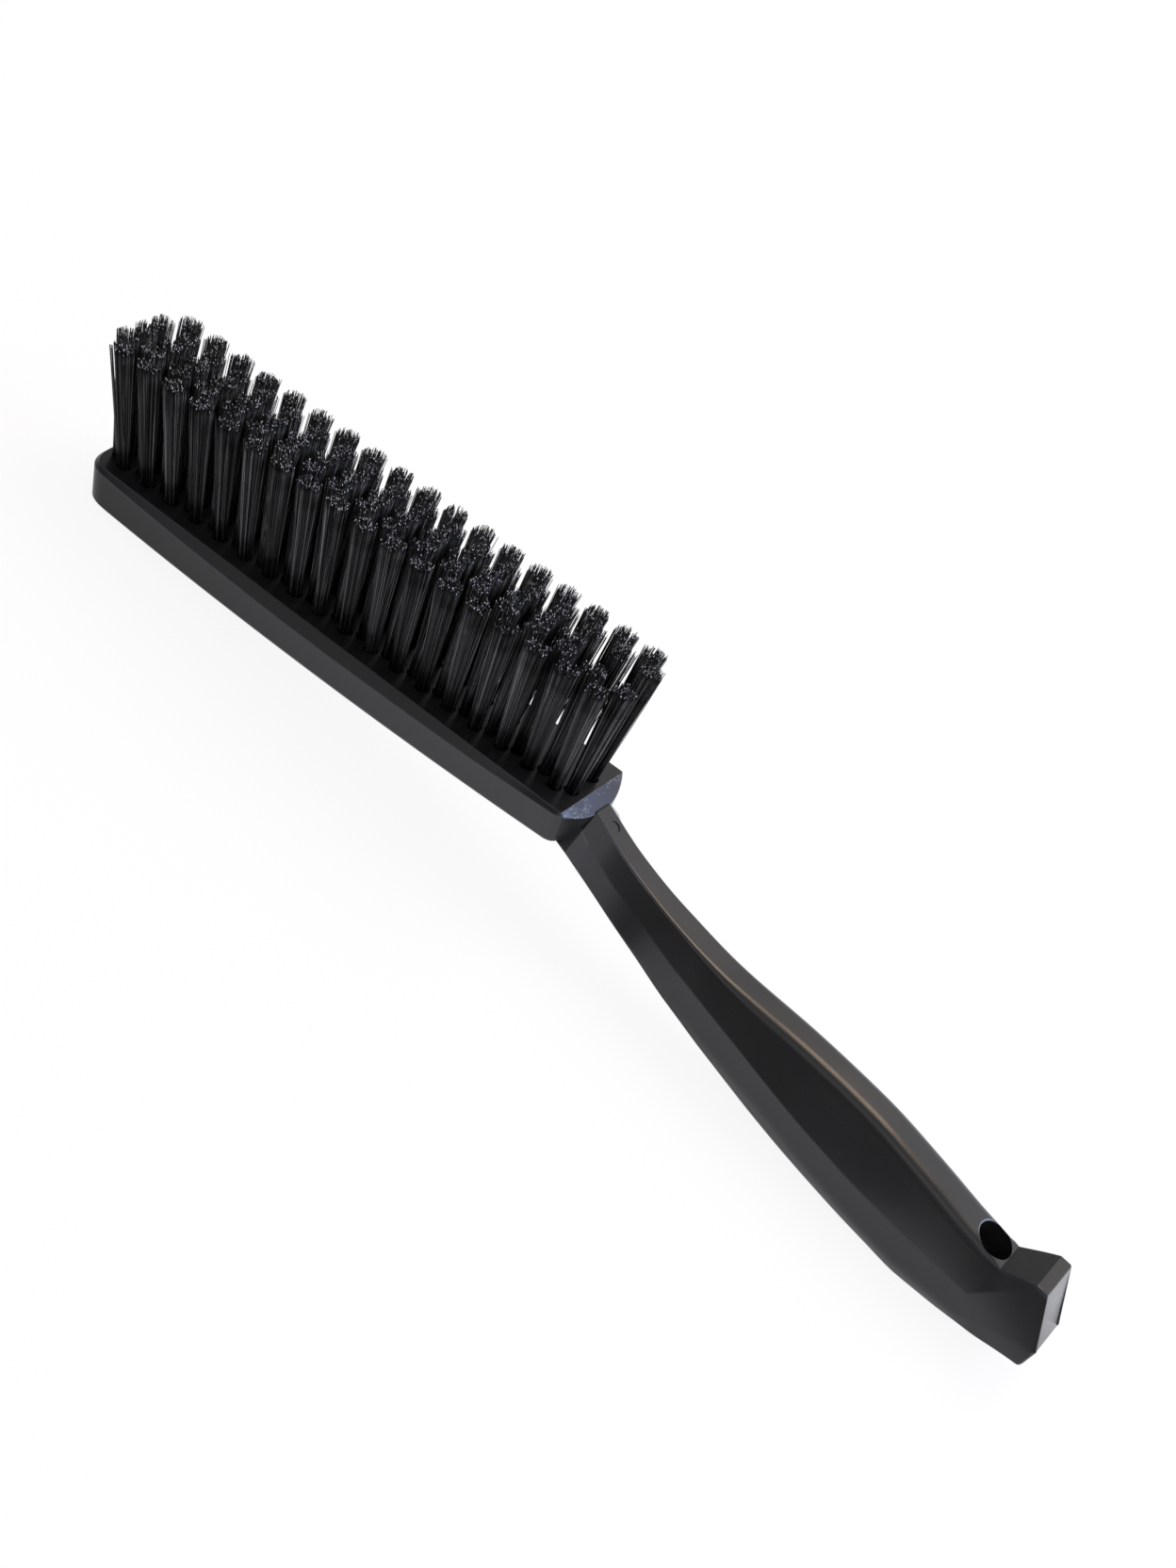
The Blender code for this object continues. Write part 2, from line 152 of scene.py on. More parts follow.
def mouldedSkinGroup():
    # The fine orange-peel skin of a moulding, with slow clouds of duller and shinier skin.
    group, start, end = newGroup(
        "mouldedSkin",
        [("Vector", 'NodeSocketVector', None), ("Grain Scale", 'NodeSocketFloat', 3000.0),
         ("Cloud Scale", 'NodeSocketFloat', 60.0)],
        [("Grain", 'NodeSocketFloat'), ("Cloud", 'NodeSocketFloat')])
    grain = addNode(group, 'ShaderNodeTexNoise', Detail=3.0, Roughness=0.6)
    cloud = addNode(group, 'ShaderNodeTexNoise', Detail=2.0, Roughness=0.5)
    for node, scale in ((grain, "Grain Scale"), (cloud, "Cloud Scale")):
        group.links.new(start.outputs["Vector"], node.inputs["Vector"])
        group.links.new(start.outputs[scale], node.inputs["Scale"])
    group.links.new(grain.outputs[0], end.inputs["Grain"])
    group.links.new(cloud.outputs[0], end.inputs["Cloud"])
    return group


def speckGroup():
    # Small pale specks of dust and scuffing, thinned out by a second noise.
    group, start, end = newGroup(
        "dustSpecks",
        [("Vector", 'NodeSocketVector', None), ("Scale", 'NodeSocketFloat', 1500.0),
         ("Size", 'NodeSocketFloat', 0.12), ("Share", 'NodeSocketFloat', 0.6)],
        [("Mask", 'NodeSocketFloat')])
    dots = addNode(group, 'ShaderNodeTexVoronoi', Randomness=1.0)
    patch = addNode(group, 'ShaderNodeTexNoise', Scale=220.0, Detail=2.0)
    for node in (dots, patch):
        group.links.new(start.outputs["Vector"], node.inputs["Vector"])
    group.links.new(start.outputs["Scale"], dots.inputs["Scale"])
    inside = mathNode(group, 'LESS_THAN', dots.outputs["Distance"], start.outputs["Size"])
    there = mathNode(group, 'GREATER_THAN', patch.outputs[0], start.outputs["Share"])
    mask = mathNode(group, 'MULTIPLY', inside, there)
    group.links.new(mask, end.inputs["Mask"])
    return group


mouldedSkin = mouldedSkinGroup()
dustSpecks = speckGroup()


# Moulded plastic

plasticLook = {
    "colour": (0.011, 0.011, 0.0115), "wornHighlight": (0.14, 0.16, 0.22), "hazeAndSheen": (0.036, 0.05, 0.10),
    "speck": (0.5, 0.52, 0.6), "ior": 1.47, "roughLow": 0.23, "roughHigh": 0.33,
    "roughClouds": (0.3, 0.7), "rubHighlightClouds": (0.25, 0.55), "hazeAndSheenClouds": (0.2, 0.6),
    "grainHeight": 0.01 * mm, "grainStrength": 0.6, "grainScale": 2600.0, "cloudScale": 55.0,
    "speckScale": 3300.0, "speckSize": 0.24, "speckShare": 0.52, "speckRough": 0.3,
}


def makePlastic():
    look = plasticLook
    material = bpy.data.materials.new("blackMouldedPlastic")
    material.use_nodes = True
    tree = material.node_tree
    shader = tree.nodes["Principled BSDF"]
    shader.inputs["IOR"].default_value = look["ior"]
    coords = addNode(tree, 'ShaderNodeTexCoord').outputs["Object"]
    skin = placeGroup(tree, mouldedSkin, **{"Grain Scale": look["grainScale"],
                                            "Cloud Scale": look["cloudScale"]})
    specks = placeGroup(tree, dustSpecks, Scale=look["speckScale"], Size=look["speckSize"],
                        Share=look["speckShare"])
    for node in (skin, specks):
        tree.links.new(coords, node.inputs["Vector"])
    cloud = skin.outputs["Cloud"]
    rubHighlight = addNode(tree, 'ShaderNodeAttribute', attribute_name="edgeRubHighlight").outputs["Fac"]
    dustAndSheen = addNode(tree, 'ShaderNodeAttribute', attribute_name="dustAndSheenEnd").outputs["Fac"]
    # Tight edges and the hole's rim get a pale rub with a painted bluish highlight.
    brokenRubHighlight = mathNode(tree, 'MULTIPLY', rubHighlight, remap(tree, cloud, *look["rubHighlightClouds"]))
    colour = blendColour(tree, brokenRubHighlight, look["colour"], look["wornHighlight"])
    # On the sloped lip, a bluish haze: partly dust, partly a painted bluish reflection.
    hazeAndSheen = mathNode(tree, 'MULTIPLY', dustAndSheen, remap(tree, cloud, *look["hazeAndSheenClouds"]))
    colour = blendColour(tree, hazeAndSheen, colour, look["hazeAndSheen"])
    dusted = mathNode(tree, 'MULTIPLY', specks.outputs["Mask"], dustAndSheen)
    colour = blendColour(tree, dusted, colour, look["speck"])
    tree.links.new(colour, shader.inputs["Base Color"])
    rough = remap(tree, cloud, *look["roughClouds"], look["roughLow"], look["roughHigh"])
    rough = mathNode(tree, 'ADD', rough, mathNode(tree, 'MULTIPLY', dusted,
                                                  look["speckRough"]))
    tree.links.new(rough, shader.inputs["Roughness"])
    bump = addNode(tree, 'ShaderNodeBump', Strength=look["grainStrength"],
                   Distance=look["grainHeight"])
    tree.links.new(skin.outputs["Grain"], bump.inputs["Height"])
    tree.links.new(bump.outputs[0], shader.inputs["Normal"])
    return material


# Bristle nylon

bristleLook = {
    "dark": (0.002, 0.002, 0.0025), "light": (0.06, 0.06, 0.063), "tip": (0.85, 0.87, 1.0),
    "ior": 1.53, "roughLow": 0.27, "roughHigh": 0.43, "roughClouds": (0.3, 0.7),
    "grainScale": 5200.0, "cloudScale": 900.0, "deepAlong": (0.94, 0.985), "deepLevel": 0.2,
    "cutAlong": (0.988, 0.998), "fullCap": 0.5, "capShine": (0.06, 0.9), "fullShade": 0.7,
    "shaftGloss": (0.3, 1.4),
}


def makeBristle():
    look = bristleLook
    material = bpy.data.materials.new("blackNylonBristle")
    material.use_nodes = True
    tree = material.node_tree
    shader = tree.nodes["Principled BSDF"]
    shader.inputs["IOR"].default_value = look["ior"]
    shade = addNode(tree, 'ShaderNodeAttribute', attribute_name="strandShade").outputs["Fac"]
    along = addNode(tree, 'ShaderNodeAttribute', attribute_name="alongStrand").outputs["Fac"]
    coords = addNode(tree, 'ShaderNodeTexCoord').outputs["Object"]
    skin = placeGroup(tree, mouldedSkin, **{"Grain Scale": look["grainScale"],
                                            "Cloud Scale": look["cloudScale"]})
    tree.links.new(coords, skin.inputs["Vector"])
    # Light hardly gets in between the strands just below their cut ends.
    lit = remap(tree, along, *look["deepAlong"], 1.0, look["deepLevel"])
    colour = blendColour(tree, mathNode(tree, 'MULTIPLY', shade, lit), look["dark"],
                         look["light"])
    cutEnd = remap(tree, along, *look["cutAlong"])
    capped = addNode(tree, 'ShaderNodeAttribute', attribute_name="paleCap").outputs["Fac"]
    pale = mathNode(tree, 'MULTIPLY', cutEnd, capped)
    colour = blendColour(tree, pale, colour, look["tip"])
    tree.links.new(colour, shader.inputs["Base Color"])
    # Most cut ends are torn and dull; the pale ones shine.
    shine = mathNode(tree, 'MULTIPLY', cutEnd,
                     remap(tree, capped, 0.0, look["fullCap"], *look["capShine"]))
    gloss = mathNode(tree, 'MULTIPLY', mathNode(tree, 'SUBTRACT', 1.0, cutEnd),
                     remap(tree, shade, 0.0, look["fullShade"], *look["shaftGloss"]))
    gloss = mathNode(tree, 'MULTIPLY', gloss, lit)
    tree.links.new(mathNode(tree, 'ADD', shine, gloss), shader.inputs["Specular IOR Level"])
    rough = remap(tree, skin.outputs["Cloud"], *look["roughClouds"], look["roughLow"],
                  look["roughHigh"])
    tree.links.new(rough, shader.inputs["Roughness"])
    return material


plastic = makePlastic()
bristle = makeBristle()
print("materials made")


# Outlines and rings

def arcPoints(start, end, bow, steps, firstCut, lastCut):
    # Points along an arc that bulges to the right by bow, with its two ends cut back.
    chord = end - start
    way = chord.normalized()
    if bow == 0:
        first, last = start + way * firstCut, end - way * lastCut
        return [first.lerp(last, i / steps) for i in range(steps + 1)]
    half = chord.length / 2
    radius = (half * half + bow * bow) / (2 * bow)
    side = Vector((chord.y, -chord.x)).normalized()
    centre = (start + end) / 2 - side * (radius - bow)
    swing = math.asin(min(1.0, half / radius))
    turns = np.linspace(firstCut / radius - swing, swing - lastCut / radius, steps + 1)
    return [centre + (side * math.cos(a) + way * math.sin(a)) * radius for a in turns]


def bend(first, corner, last, steps):
    ways = [i / steps for i in range(steps + 1)]
    return [first * (1 - t) ** 2 + corner * 2 * t * (1 - t) + last * t * t for t in ways]


def roundCorner(before, corner, after, reach, steps):
    toBefore, toAfter = before - corner, after - corner
    return bend(corner + toBefore * min(0.45, reach / max(1e-9, toBefore.length)), corner,
                corner + toAfter * min(0.45, reach / max(1e-9, toAfter.length)), steps)


outlineSteps = {"sides": [16, 30, 16, 30], "corner": 9}


def bowedOutline(far, farHalf, near, nearHalf, bows, reaches):
    # Four bowed sides, counter-clockwise from the far left corner, joined by soft corners.
    corners = [Vector((-far, farHalf)), Vector((-far, -farHalf)),
               Vector((near, -nearHalf)), Vector((near, nearHalf))]
    bulges = [bows[0], bows[1], bows[2], bows[1]]
    cuts = [reaches[0], reaches[0], reaches[1], reaches[1]]
    runs = [arcPoints(corners[i], corners[(i + 1) % 4], bulges[i], outlineSteps["sides"][i],
                      cuts[i], cuts[(i + 1) % 4]) for i in range(4)]
    outline = []
    for i in range(4):
        outline += runs[i]
        outline += bend(runs[i][-1], corners[(i + 1) % 4], runs[(i + 1) % 4][0],
                        outlineSteps["corner"])[1:-1]
    return outline


def curveValue(shares, place):
    # A smooth line through the shares' points; a point given twice is a sharp bend.
    xs = [point[0] for point in shares]
    ys = [point[1] for point in shares]
    if place <= xs[0]:
        return ys[0]
    if place >= xs[-1]:
        return ys[-1]
    i = next(n for n in range(len(xs) - 1) if xs[n + 1] >= place)

    def slope(n):
        rises = [(ys[m + 1] - ys[m]) / (xs[m + 1] - xs[m]) for m in (n - 1, n)
                 if 0 <= m < len(xs) - 1 and xs[m + 1] > xs[m]]
        if len(rises) == 1:
            return rises[0]
        if rises[0] * rises[1] <= 0:
            return 0.0
        return 2 * rises[0] * rises[1] / (rises[0] + rises[1])

    run = xs[i + 1] - xs[i]
    t = (place - xs[i]) / run
    return (ys[i] * (2 * t ** 3 - 3 * t ** 2 + 1) + ys[i + 1] * (3 * t ** 2 - 2 * t ** 3)
            + run * (slope(i) * (t ** 3 - 2 * t ** 2 + t) + slope(i + 1) * (t ** 3 - t ** 2)))


def bridgeRings(bm, rings):
    # Draw each ring as a closed run of edges, bridge each to the next and cap the ends.
    loops = []
    for ring in rings:
        verts = [bm.verts.new(point) for point in ring]
        loops.append([bm.edges.new((verts[i - 1], verts[i])) for i in range(len(verts))])
    for first, second in zip(loops, loops[1:]):
        bmesh.ops.bridge_loops(bm, edges=first + second)
    for loop in (loops[0], loops[-1]):
        bmesh.ops.contextual_create(bm, geom=loop)
    bmesh.ops.recalc_face_normals(bm, faces=bm.faces)


def temporaryObject(name, bm):
    mesh = bpy.data.meshes.new(name)
    bm.to_mesh(mesh)
    bm.free()
    obj = bpy.data.objects.new(name, mesh)
    scene.collection.objects.link(obj)
    return obj


def carve(base, steps):
    # Join and cut solids, and keep only the result's mesh.
    for operation, other in steps:
        modifier = base.modifiers.new(operation.lower(), 'BOOLEAN')
        modifier.operation = operation
        modifier.solver = 'EXACT'
        modifier.object = other
    graph = bpy.context.evaluated_depsgraph_get()
    mesh = bpy.data.meshes.new_from_object(base.evaluated_get(graph))
    for obj in [base] + [other for _, other in steps]:
        bpy.data.objects.remove(obj)
    return mesh


# Tuft field, in the block's directions

tuftField = {
    "outerCount": 18, "innerCount": 19, "middleCount": 17,
    "outerPitch": 7.4 * mm, "innerPitch": 7.35 * mm, "middlePitch": 7.25 * mm,
    "outerOffset": 6.0 * mm, "innerOffset": 3.8 * mm, "middleLag": 0.15 * mm,
    "height": 30.6 * mm, "tipPitchShare": 1.058, "outerTip": 11.5 * mm, "innerTip": 5.7 * mm,
    "tipLead": 1.5 * mm, "holeRadius": 1.74 * mm, "holeDepth": 2.6 * mm, "rim": 0.1 * mm,
    "holeSides": 24,
}
fieldReach = tuftField["innerPitch"] * (tuftField["innerCount"] - 1) / 2


def tuftEnds(row, side, index):
    field = tuftField
    if row == "outer":
        x = field["outerPitch"] * (index - (field["outerCount"] - 1) / 2)
        ends = (field["outerOffset"], field["outerTip"])
    elif row == "inner":
        x = field["innerPitch"] * (index - (field["innerCount"] - 1) / 2)
        ends = (field["innerOffset"], field["innerTip"])
    else:
        x = field["middlePitch"] * index - fieldReach + field["middleLag"]
        ends = (0, 0)
    return (Vector((x, side * ends[0], 0)),
            Vector((x * field["tipPitchShare"] - field["tipLead"], side * ends[1],
                    field["height"])))


def columnTufts(column):
    tufts = [("inner", side, column) for side in (-1, 1)]
    if column > 0:
        tufts += [("outer", side, column - 1) for side in (-1, 1)]
    if column < tuftField["middleCount"]:
        tufts.append(("middle", 1, column))
    return tufts


# Brush body

block = {
    "farMargin": 4.2 * mm, "nearMargin": 7.05 * mm, "farHalf": 11.5 * mm,
    "nearHalf": 12.6 * mm, "sideBow": 2.3 * mm, "farBow": 2.0 * mm, "nearBow": 3.9 * mm,
    "corners": (5.2 * mm, 1.2 * mm), "farDepth": 9.5 * mm, "nearDepth": 8.7 * mm,
    "footBevel": 0.9 * mm, "footFarDraft": 1.6 * mm, "farSlope": 0.9 * mm,
    "nearSlope": 3.9 * mm, "faceFarHalf": 10.9 * mm, "faceNearHalf": 12.3 * mm,
    "faceFarBow": 1.9 * mm, "faceCorners": (4.9 * mm, 0.4 * mm), "lipDrop": 0.9 * mm,
    "lipSlope": 0.34, "edgeRound": 0.22 * mm, "edgeSteps": 3, "faceMargin": 1.0 * mm,
    "sharpAngle": 26,
}
handle = {
    "lap": 0.1 * mm, "rootLength": 7.1 * mm, "rootInset": 1.5 * mm, "length": 137.3 * mm,
    "drop": 52.3 * mm, "gripHalf": 8.5 * mm, "ridgeHalf": 5.3 * mm, "endInset": 0.6 * mm,
    "faceLean": 0.32, "footLean": 0.22, "kneeDrop": 13.9 * mm, "neckRound": 0.35 * mm,
    "gripRound": 1.5 * mm, "bellyBevel": 1.5 * mm, "step": 2.3 * mm, "heelStart": 0.807,
    "cornerSteps": 6, "endTurns": (0, 30, 60, 90),
    "heelShares": (0.82, 0.834, 0.847, 0.86, 0.869, 0.878, 0.887, 0.898, 0.909, 0.92, 0.932,
                   0.943, 0.946),
    "topLine": ((0.0, 0.033), (0.081, 0.141), (0.182, 0.234), (0.313, 0.31), (0.464, 0.348),
                (0.605, 0.405), (0.726, 0.49), (0.81, 0.559), (0.857, 0.596),
                (0.887, 0.628), (0.887, 0.628), (0.946, 0.559), (0.946, 0.559),
                (0.969, 0.566)),
    "creaseLine": ((0.0, 0.097), (0.04, 0.187), (0.121, 0.277), (0.242, 0.405),
                   (0.393, 0.505), (0.545, 0.627), (0.696, 0.736), (0.807, 0.793),
                   (0.86, 0.81), (0.86, 0.81), (0.943, 0.569), (0.943, 0.569),
                   (0.969, 0.581)),
    "bottomLine": ((0.0, 0.174), (0.04, 0.254), (0.121, 0.39), (0.242, 0.556),
                   (0.393, 0.707), (0.545, 0.831), (0.696, 0.946), (0.767, 0.992),
                   (0.817, 1.0), (0.878, 0.979), (0.944, 0.958), (0.969, 0.954)),
    "ridgeWidth": ((0.0, 0.49), (0.121, 0.57), (0.242, 0.7), (0.383, 0.79), (0.545, 0.84),
                   (0.726, 0.95), (0.857, 0.99), (0.887, 0.93), (0.887, 0.93),
                   (0.946, 1.18), (1.0, 1.18)),
    "creaseWidth": ((0.0, 0.78), (0.05, 0.67), (0.131, 0.635), (0.242, 0.69), (0.313, 0.8),
                    (0.403, 0.935), (0.484, 0.98), (0.605, 0.94), (0.716, 0.82),
                    (0.807, 0.741), (1.0, 0.741)),
    "skirtWidth": ((0.0, 1.28), (0.045, 1.06), (0.101, 0.91), (0.182, 0.79), (0.252, 0.78),
                   (0.333, 0.88), (0.434, 0.985), (0.504, 1.0), (0.605, 0.945),
                   (0.716, 0.825), (0.807, 0.741), (1.0, 0.741)),
    "softness": ((0.0, 0.0), (0.222, 0.12), (0.424, 1.0), (0.807, 1.0), (0.908, 0.15),
                 (1.0, 0.15)),
    "borderHeight": ((0.0, 0.04), (0.141, 0.05), (0.252, 0.34), (0.353, 0.35),
                     (0.464, 0.44), (0.605, 0.355), (0.706, 0.32), (0.807, 0.335),
                     (0.878, 0.265), (1.0, 0.265)),
    "ridgeRound": ((0.0, 0.35), (0.2, 0.8), (0.3, 1.5), (0.4, 2.1), (0.6, 2.6), (0.8, 3.0),
                   (0.86, 2.6), (0.887, 0.5), (1.0, 0.3)),
}
hangHole = {"inset": 19.7 * mm, "radius": 4.4 * mm, "lean": 0.30, "rim": 0.4 * mm,
            "lift": 0.15 * mm, "sides": 48, "rimSteps": 6}
mark = {"place": 77.4 * mm, "radius": 1.35 * mm, "flare": 0.1 * mm, "rise": 0.6 * mm,
        "sink": 0.16 * mm, "sides": 40}
wearAndHighlight = {"widest": 0.17 * mm, "bend": 5.0, "flat": 0.99, "edge": 0.13, "rim": 0.9,
        "skin": 0.02 * mm}
dustAndSheenLip = {"leanOut": 0.15, "leanUp": 0.2, "margin": 0.1 * mm}


def blockRings():
    far = fieldReach + block["farMargin"] - block["farBow"]
    near = fieldReach + block["nearMargin"] - block["nearBow"]
    bows = (block["farBow"], block["sideBow"], block["nearBow"])
    bevel, draft = block["footBevel"], block["footFarDraft"]
    wall = bowedOutline(far, block["farHalf"], near, block["nearHalf"], bows,
                        block["corners"])
    skirting = bowedOutline(far - draft, block["farHalf"], near, block["nearHalf"], bows,
                            block["corners"])
    foot = bowedOutline(far - draft - bevel, block["farHalf"] - bevel, near - bevel,
                        block["nearHalf"] - bevel, bows, block["corners"])
    faceFar = fieldReach + block["farMargin"] - block["farSlope"] - block["faceFarBow"]
    faceNear = fieldReach + block["nearMargin"] - block["nearSlope"]
    face = bowedOutline(faceFar, block["faceFarHalf"], faceNear, block["faceNearHalf"],
                        (block["faceFarBow"], 0, 0), block["faceCorners"])
    inner = bowedOutline(faceFar - block["faceMargin"],
                         block["faceFarHalf"] - block["faceMargin"],
                         faceNear - block["faceMargin"],
                         block["faceNearHalf"] - block["faceMargin"],
                         (block["faceFarBow"], 0, 0), block["faceCorners"])
    slant = ((block["nearDepth"] - block["farDepth"])
             / (2 * fieldReach + block["nearMargin"] + block["farMargin"]))

    def back(point, rise):
        along = point.x + fieldReach + block["farMargin"]
        return Vector((point.x, point.y, rise - block["farDepth"] - slant * along))

    profiles = []
    for f, s, w, t, n in zip(foot, skirting, wall, face, inner):
        drop = -block["lipDrop"] - block["lipSlope"] * (w - t).length
        stops = [back(f, 0), back(s, bevel), Vector((w.x, w.y, drop)),
                 Vector((t.x, t.y, 0)), Vector((n.x, n.y, 0))]
        profile = [stops[0]]
        for i in range(1, 4):
            profile += roundCorner(stops[i - 1], stops[i], stops[i + 1],
                                   block["edgeRound"], block["edgeSteps"])
        profiles.append(profile + [stops[4]])
    return [[profile[level] for profile in profiles] for level in range(len(profiles[0]))]


def heelLean(drop):
    # The end face reaches out down to its knee, and draws back below it.
    return (handle["faceLean"] * min(drop, handle["kneeDrop"])
            - handle["footLean"] * max(0, drop - handle["kneeDrop"]))


def handleSection(place, start, slant, inset):
    share = min(1.0, max(0.0, (place - start) / handle["length"]))
    value = {name: curveValue(handle[name], share)
             for name in ("topLine", "creaseLine", "bottomLine", "ridgeWidth", "creaseWidth",
                          "skirtWidth", "softness", "borderHeight", "ridgeRound")}
    top = -handle["drop"] * value["topLine"] - inset
    crease = -handle["drop"] * value["creaseLine"]
    bottom = -handle["drop"] * value["bottomLine"] + inset
    ridge = handle["ridgeHalf"] * value["ridgeWidth"] - inset
    waist = handle["gripHalf"] * value["creaseWidth"] - inset
    skirt = handle["gripHalf"] * value["skirtWidth"] - inset
    soft = value["softness"]
    reach = handle["neckRound"] + (handle["gripRound"] - handle["neckRound"]) * soft
    border = bottom + (crease - bottom) * value["borderHeight"]
    corners = [Vector((ridge, top)), Vector((waist, crease)), Vector((skirt, border)),
               Vector((skirt - handle["bellyBevel"] * soft, bottom))]
    corners += [Vector((-corner.x, corner.y)) for corner in reversed(corners)]
    reaches = [value["ridgeRound"] * mm, handle["neckRound"], reach, reach]
    reaches += list(reversed(reaches))
    ring = []
    for i, corner in enumerate(corners):
        for point in roundCorner(corners[i - 1], corner, corners[(i + 1) % 8], reaches[i],
                                 handle["cornerSteps"]):
            ring.append(Vector((place + slant * heelLean(top - point.y), point.x, point.y)))
    return ring


def handleRings():
    start = fieldReach + block["nearMargin"] - handle["lap"]
    last = start + handle["length"] - heelLean(handle["kneeDrop"])
    heelStart = start + handle["length"] * handle["heelStart"]
    count = round((heelStart - start) / handle["step"])
    rings = [handleSection(start - handle["rootLength"], start, 0, handle["rootInset"])]
    rings += [handleSection(start + (heelStart - start) * i / count, start, 0, 0)
              for i in range(count + 1)]
    for share in handle["heelShares"]:
        place = start + handle["length"] * share
        rings.append(handleSection(place, start, (place - heelStart) / (last - heelStart), 0))
    # The heel's end turns in over a few rings.
    inset = handle["endInset"]
    for way in (math.radians(angle) for angle in handle["endTurns"]):
        rings.append(handleSection(last - inset * (1 - math.sin(way)), start, 1,
                                   inset * (1 - math.cos(way))))
    return rings


def holeMouth():
    # The middle of the hanging hole's mouth and the hole's direction.
    start = fieldReach + block["nearMargin"] - handle["lap"]
    place = start + handle["length"] - hangHole["inset"]
    height = -handle["drop"] * curveValue(handle["topLine"], (place - start) / handle["length"])
    return Vector((place, 0, height)), Vector((hangHole["lean"], 0, 1)).normalized()


def hangHoleCutter():
    # The hole's mouth flares in a quarter round, so that its rim is soft.
    mouth, way = holeMouth()
    radius, rim, lift = hangHole["radius"], hangHole["rim"], hangHole["lift"]
    stops = [(-handle["drop"], radius)]
    stops += [(-rim * (1 - math.sin(a)), radius + rim * (1 - math.cos(a)))
              for a in np.linspace(0, math.pi / 2, hangHole["rimSteps"] + 1)]
    stops += [(lift, radius + rim), (2 * lift, radius), (handle["drop"], radius)]
    turn = way.to_track_quat('Z', 'Y')
    bm = bmesh.new()
    bridgeRings(bm, [[mouth + turn @ Vector((wide * math.cos(a), wide * math.sin(a), rise))
                      for a in np.linspace(0, 2 * math.pi, hangHole["sides"], endpoint=False)]
                     for rise, wide in stops])
    return bm


def ejectorMark():
    # The round dent that an ejector pin leaves on top of the neck's root.
    start = fieldReach + block["nearMargin"] - handle["lap"]
    heights = [-handle["drop"] * curveValue(handle["topLine"], (x - start) / handle["length"])
               for x in (mark["place"] - mark["radius"], mark["place"] + mark["radius"])]
    slope = (heights[1] - heights[0]) / (2 * mark["radius"])
    way = Vector((-slope, 0, 1)).normalized()
    middle = Vector((mark["place"], 0, (heights[0] + heights[1]) / 2 + mark["rise"]))
    bm = bmesh.new()
    bmesh.ops.create_cone(bm, cap_ends=True, segments=mark["sides"], radius1=mark["radius"],
                          radius2=mark["radius"] + mark["flare"], depth=2 * mark["rise"],
                          matrix=Matrix.Translation(middle - way * mark["sink"])
                          @ way.to_track_quat('Z', 'Y').to_matrix().to_4x4())
    return bm


def markWearAndHighlight(mesh):
    # Tight outer edges and the hanging hole's rim are rubbed pale, with a painted bluish
    # highlight on them.
    mouth, way = holeMouth()
    rim = hangHole["rim"]

    def onRim(point):
        off = point - mouth
        rise = off.dot(way)
        reach = (off - way * rise).length - hangHole["radius"] - rim
        return rise > -rim and abs(math.hypot(reach, rise + rim) - rim) < wearAndHighlight["skin"]

    bm = bmesh.new()
    bm.from_mesh(mesh)
    rubbedHighlight = bm.faces.layers.float.new("edgeRubHighlight")
    rims = 0
    for face in bm.faces:
        width = face.calc_area() / max(edge.calc_length() for edge in face.edges)
        bent = max(edge.calc_face_angle_signed(0.0) for edge in face.edges)
        tight = width < wearAndHighlight["widest"] and bent > math.radians(wearAndHighlight["bend"])
        if tight and face.normal.z < wearAndHighlight["flat"]:
            face[rubbedHighlight] = wearAndHighlight["edge"]
        if all(onRim(vert.co) for vert in face.verts):
            face[rubbedHighlight] = wearAndHighlight["rim"]
            rims += 1
    bm.to_mesh(mesh)
    bm.free()
    print("rim faces rubbed:", rims)


def markDustAndSheen(mesh):
    # Dust clings to the sloped lip at the block's handle end, and the lip gets a painted bluish
    # sheen.
    dusty = mesh.attributes.new("dustAndSheenEnd", 'FLOAT', 'FACE')
    rim = fieldReach + block["nearMargin"]
    inner = rim - block["nearSlope"] - dustAndSheenLip["margin"]
    sloped = [face.normal.x > dustAndSheenLip["leanOut"] and face.normal.z > dustAndSheenLip["leanUp"]
              and inner < face.center.x < rim
              for face in mesh.polygons]
    dusty.data.foreach_set("value", np.array(sloped, dtype=np.float32))


def tuftHoleCutters():
    # Each hole leans with its tuft; its mouth opens a little at the face.
    bm = bmesh.new()
    radius, rim, depth = tuftField["holeRadius"], tuftField["rim"], tuftField["holeDepth"]
    for column in range(tuftField["innerCount"]):
        for row, side, index in columnTufts(column):
            base, tip = tuftEnds(row, side, index)
            slope = (tip - base) / tuftField["height"]
            stops = [(-depth, radius), (-rim, radius), (0, radius + rim), (rim, radius + rim)]
            rings = []
            for rise, wide in stops:
                centre = base + slope * rise
                rings.append([centre + Vector((wide * math.cos(a), wide * math.sin(a), 0))
                              for a in np.linspace(0, 2 * math.pi, tuftField["holeSides"],
                                                   endpoint=False)])
            bridgeRings(bm, rings)
    return bm


def makeBody():
    base = bmesh.new()
    bridgeRings(base, blockRings())
    grip = bmesh.new()
    bridgeRings(grip, handleRings())
    mesh = carve(temporaryObject("blockForm", base),
                 [('UNION', temporaryObject("gripForm", grip)),
                  ('DIFFERENCE', temporaryObject("hangHoleForm", hangHoleCutter())),
                  ('DIFFERENCE', temporaryObject("ejectorForm", ejectorMark())),
                  ('DIFFERENCE', temporaryObject("tuftHoleForms", tuftHoleCutters()))])
    markWearAndHighlight(mesh)
    markDustAndSheen(mesh)
    mesh.transform(toRow)
    mesh.name = "brushMoulding"
    body = bpy.data.objects.new("brushMoulding", mesh)
    scene.collection.objects.link(body)
    mesh.materials.clear()
    mesh.materials.append(plastic)
    mesh.shade_smooth()
    mesh.set_sharp_from_angle(angle=math.radians(block["sharpAngle"]))
    body.modifiers.new("evenShading", 'WEIGHTED_NORMAL').keep_sharp = True
    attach(body, "root")
    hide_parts("brush_body")
    print("body made:", len(mesh.polygons), "faces")
    return body


body = makeBody()


# Tufts

